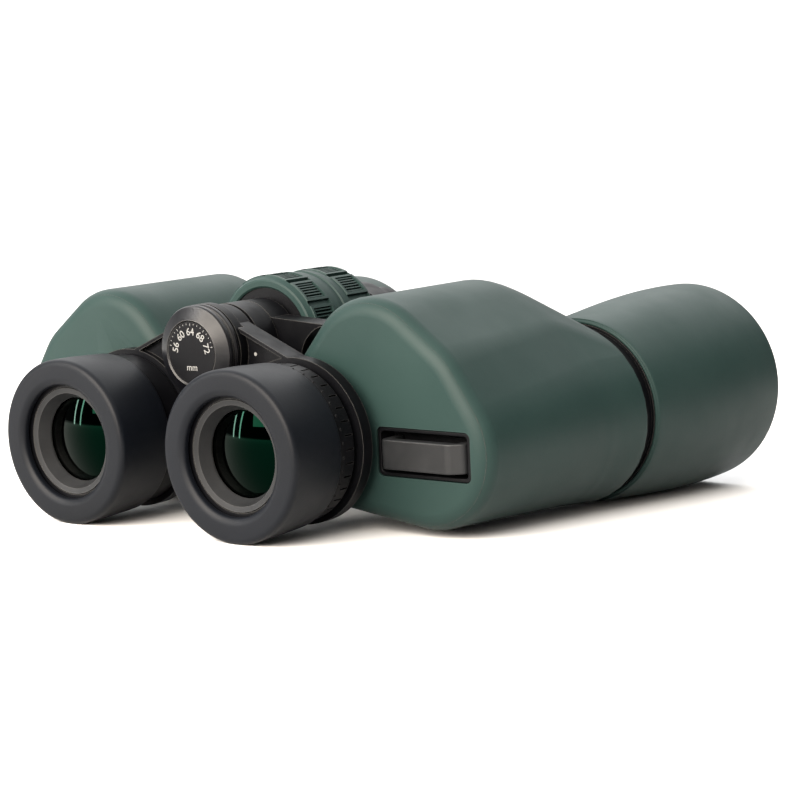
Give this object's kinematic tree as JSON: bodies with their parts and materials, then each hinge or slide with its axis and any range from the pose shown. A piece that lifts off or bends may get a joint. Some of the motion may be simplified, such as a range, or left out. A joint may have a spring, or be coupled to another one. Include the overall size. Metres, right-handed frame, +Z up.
{
  "type": "binoculars",
  "caption": "Porro-prism binoculars with rubber armour, a central focus wheel, a folding hinge and twist-up eyecups.",
  "frame": {"origin": "centre of the bottom of the whole object's box, on the middle plane between the barrels", "axes": "+X to the user's right, +Y forward along the optical axes from eyepieces to objectives, +Z up"},
  "size_m": [0.1928, 0.1774, 0.0744],
  "materials": {
    "armour": "matte",
    "cup_rubber": "matte",
    "black_metal": "satin",
    "black_plastic": "satin",
    "steel": "satin",
    "brass": "satin",
    "glass": "polished"
  },
  "bodies": {
    "right_barrel": {"right_prism_housing": "black_metal", "right_housing_armour": "armour", "right_barrel_sleeve": "armour", "right_barrel_lock_ring": "black_metal", "right_strap_lug": "black_plastic", "right_hinge_bracket": "black_metal", "right_prism_shelf": "black_plastic", "right_rear_prism": "glass", "right_front_prism": "glass", "right_prism_clips": "steel", "right_objective_tube": "black_metal", "right_objective_crown_lens": "glass", "right_objective_flint_lens": "glass", "right_objective_seal": "cup_rubber", "right_objective_retaining_ring": "black_metal", "rear_hinge_tube": "steel", "front_hinge_pin": "steel", "tripod_bush": "brass"},
    "left_barrel": {"left_prism_housing": "black_metal", "left_housing_armour": "armour", "left_barrel_sleeve": "armour", "left_barrel_lock_ring": "black_metal", "left_strap_lug": "black_plastic", "left_hinge_bracket": "black_metal", "left_prism_shelf": "black_plastic", "left_rear_prism": "glass", "left_front_prism": "glass", "left_prism_clips": "steel", "left_objective_tube": "black_metal", "left_objective_crown_lens": "glass", "left_objective_flint_lens": "glass", "left_objective_seal": "cup_rubber", "left_objective_retaining_ring": "black_metal"},
    "focus_wheel": {"focus_wheel_core": "black_plastic", "focus_wheel_grip": "armour"},
    "bridge": {"right_bridge_arm": "black_metal", "right_eyepiece_tube": "black_metal", "focus_spindle": "steel", "hub_cap": "black_plastic", "scale_plate": "black_plastic"},
    "left_arm": {"left_bridge_arm": "black_metal", "left_eyepiece_tube": "black_metal", "left_lens_cell": "black_metal", "left_eye_lens_ring": "black_metal", "left_eye_lens": "glass", "left_field_lens": "glass", "left_eyepiece_ring": "black_plastic"},
    "right_ocular": {"right_lens_cell": "black_metal", "right_eye_lens_ring": "black_metal", "right_eye_lens": "glass", "right_field_lens": "glass"},
    "dioptre_ring": {"dioptre_ring": "black_plastic"},
    "right_eyecup_carrier": {"right_eyecup_detent_ring": "black_plastic"},
    "right_eyecup": {"right_eyecup": "cup_rubber", "right_eyecup_sleeve": "black_plastic"},
    "left_eyecup_carrier": {"left_eyecup_detent_ring": "black_plastic"},
    "left_eyecup": {"left_eyecup": "cup_rubber", "left_eyecup_sleeve": "black_plastic"}
  },
  "joints": [
    {"name": "fold", "type": "hinge", "parent": "right_barrel", "child": "left_barrel", "pos_m": [0, -0.0287, 0.0561], "axis": [0, 1, 0], "range_deg": [-11.4, 34]},
    {"name": "focus_turn", "type": "hinge", "parent": "right_barrel", "child": "focus_wheel", "pos_m": [0, -0.0287, 0.0561], "axis": [0, 1, 0], "range_deg": [-399, 52]},
    {"name": "focus_travel", "type": "slide", "parent": "right_barrel", "child": "bridge", "axis": [0, 1, 0], "range_m": [-0.0062, 0.0008]},
    {"name": "left_arm_fold", "type": "hinge", "parent": "bridge", "child": "left_arm", "pos_m": [0, -0.0287, 0.0561], "axis": [0, 1, 0], "range_deg": [-11.4, 34]},
    {"name": "dioptre_travel", "type": "slide", "parent": "bridge", "child": "right_ocular", "axis": [0, 1, 0], "range_m": [-0.0015, 0.0015]},
    {"name": "dioptre_turn", "type": "hinge", "parent": "right_ocular", "child": "dioptre_ring", "pos_m": [0.03045, -0.0657, 0.0327], "axis": [0, 1, 0], "range_deg": [-40, 40]},
    {"name": "right_eyecup_rise", "type": "slide", "parent": "right_ocular", "child": "right_eyecup_carrier", "axis": [0, -1, 0], "range_m": [0, 0.008]},
    {"name": "right_eyecup_twist", "type": "hinge", "parent": "right_eyecup_carrier", "child": "right_eyecup", "pos_m": [0.03045, -0.0787, 0.0327], "axis": [0, -1, 0], "range_deg": [0, 90]},
    {"name": "left_eyecup_rise", "type": "slide", "parent": "left_arm", "child": "left_eyecup_carrier", "axis": [0, -1, 0], "range_m": [0, 0.008]},
    {"name": "left_eyecup_twist", "type": "hinge", "parent": "left_eyecup_carrier", "child": "left_eyecup", "pos_m": [-0.03045, -0.0787, 0.0327], "axis": [0, -1, 0], "range_deg": [0, 90]}
  ],
  "couplings": [
    {"joint": "focus_turn", "follows": "focus_travel", "rad_per_m": 1121.9},
    {"joint": "left_arm_fold", "follows": "fold", "ratio": 1},
    {"joint": "dioptre_turn", "follows": "dioptre_travel", "rad_per_m": 465},
    {"joint": "right_eyecup_rise", "follows": "right_eyecup_twist", "m_per_rad": 0.00509},
    {"joint": "left_eyecup_rise", "follows": "left_eyecup_twist", "m_per_rad": 0.00509}
  ]
}
